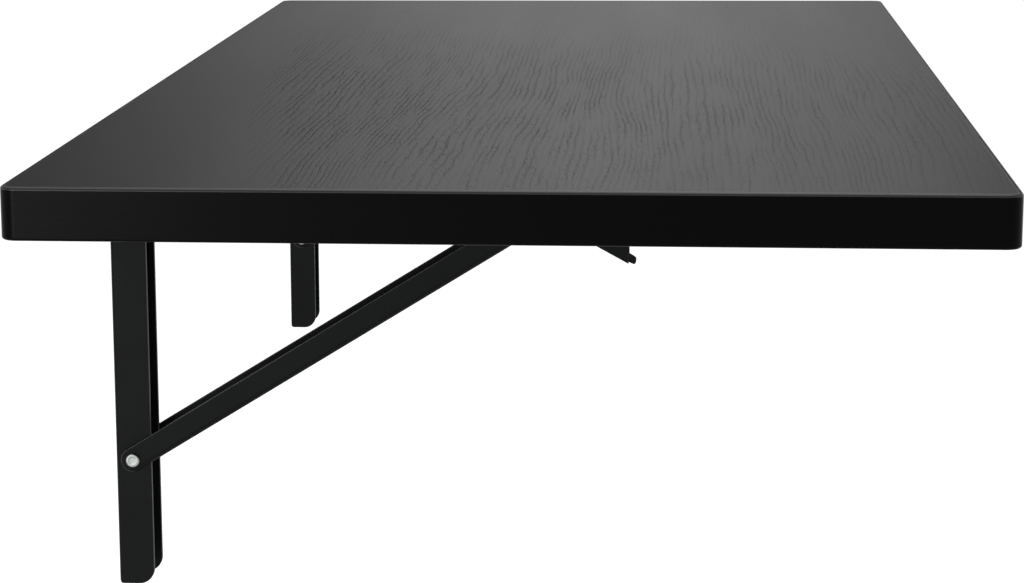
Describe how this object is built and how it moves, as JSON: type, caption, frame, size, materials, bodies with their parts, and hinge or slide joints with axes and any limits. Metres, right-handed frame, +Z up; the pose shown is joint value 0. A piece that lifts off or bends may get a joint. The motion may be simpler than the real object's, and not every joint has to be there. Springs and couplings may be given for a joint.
{
  "type": "wall mounted drop leaf table",
  "caption": "Rectangular wall mounted drop leaf with rounded corners, carried by matching folding steel channel brackets with release levers.",
  "frame": {"origin": "centre of the four outer wall screw holes, on the wall plane that the plates' backs lie on", "axes": "+X out of the wall, +Y along the wall, +Z up, with the table opened"},
  "size_m": [0.5, 1, 0.247],
  "materials": {
    "particle_board": "raw particle board, covered on every side",
    "woodgrain_laminate": "charcoal laminate with embossed wood grain",
    "backer_foil": "plain matte black backer",
    "edge_band": "smooth satin black edge band",
    "black_powder_coat": "fine textured black powder coat on folded sheet steel",
    "zinc_plated_steel": "bright zinc plate",
    "black_nylon": "moulded black nylon",
    "spring_steel": "drawn spring wire"
  },
  "bodies": {
    "wall_side": {"near_wall_plate": "black_powder_coat", "near_arm_pivot_rivet": "zinc_plated_steel", "near_arm_spacers": "zinc_plated_steel", "near_brace_pivot_rivet": "zinc_plated_steel", "far_wall_plate": "black_powder_coat", "far_arm_pivot_rivet": "zinc_plated_steel", "far_arm_spacers": "zinc_plated_steel", "far_brace_pivot_rivet": "zinc_plated_steel"},
    "leaf": {"tabletop_core": "particle_board", "top_laminate": "woodgrain_laminate", "bottom_backer": "backer_foil", "edge_band": "edge_band", "near_leaf_arm": "black_powder_coat", "near_arm_screws": "zinc_plated_steel", "far_leaf_arm": "black_powder_coat", "far_arm_screws": "zinc_plated_steel"},
    "near_brace": {"near_folding_brace": "black_powder_coat", "near_slide_pin": "zinc_plated_steel"},
    "near_block": {"near_slide_block": "black_nylon", "near_lever_pin": "zinc_plated_steel"},
    "near_lever": {"near_release_lever": "black_powder_coat", "near_lever_spring": "spring_steel"},
    "far_brace": {"far_folding_brace": "black_powder_coat", "far_slide_pin": "zinc_plated_steel"},
    "far_block": {"far_slide_block": "black_nylon", "far_lever_pin": "zinc_plated_steel"},
    "far_lever": {"far_release_lever": "black_powder_coat", "far_lever_spring": "spring_steel"}
  },
  "joints": [
    {"name": "leaf_fold", "type": "hinge", "parent": "wall_side", "child": "leaf", "pos_m": [0.01, 0, 0.105], "axis": [0, 1, 0], "range_deg": [0, 90]},
    {"name": "near_brace_fold", "type": "hinge", "parent": "wall_side", "child": "near_brace", "pos_m": [0.01, -0.345, -0.03], "axis": [0, 1, 0], "range_deg": [0, 122]},
    {"name": "near_block_turn", "type": "hinge", "parent": "near_brace", "child": "near_block", "pos_m": [0.22751, -0.345, 0.105], "axis": [0, 1, 0], "range_deg": [-31.9, 0]},
    {"name": "near_lever_press", "type": "hinge", "parent": "near_block", "child": "near_lever", "pos_m": [0.25351, -0.345, 0.105], "axis": [0, -1, 0], "range_deg": [0, 28], "stiffness_Nm_per_rad": 0.25, "springref_deg": -22.92},
    {"name": "far_brace_fold", "type": "hinge", "parent": "wall_side", "child": "far_brace", "pos_m": [0.01, 0.345, -0.03], "axis": [0, 1, 0], "range_deg": [0, 122]},
    {"name": "far_block_turn", "type": "hinge", "parent": "far_brace", "child": "far_block", "pos_m": [0.22751, 0.345, 0.105], "axis": [0, 1, 0], "range_deg": [-31.9, 0]},
    {"name": "far_lever_press", "type": "hinge", "parent": "far_block", "child": "far_lever", "pos_m": [0.25351, 0.345, 0.105], "axis": [0, -1, 0], "range_deg": [0, 28], "stiffness_Nm_per_rad": 0.25, "springref_deg": -22.92}
  ],
  "couplings": [
    {"joint": "near_brace_fold", "follows": "leaf_fold", "ratio": 1.3536},
    {"joint": "near_block_turn", "follows": "leaf_fold", "ratio": -0.35362},
    {"joint": "far_brace_fold", "follows": "leaf_fold", "ratio": 1.3536},
    {"joint": "far_block_turn", "follows": "leaf_fold", "ratio": -0.35362}
  ]
}
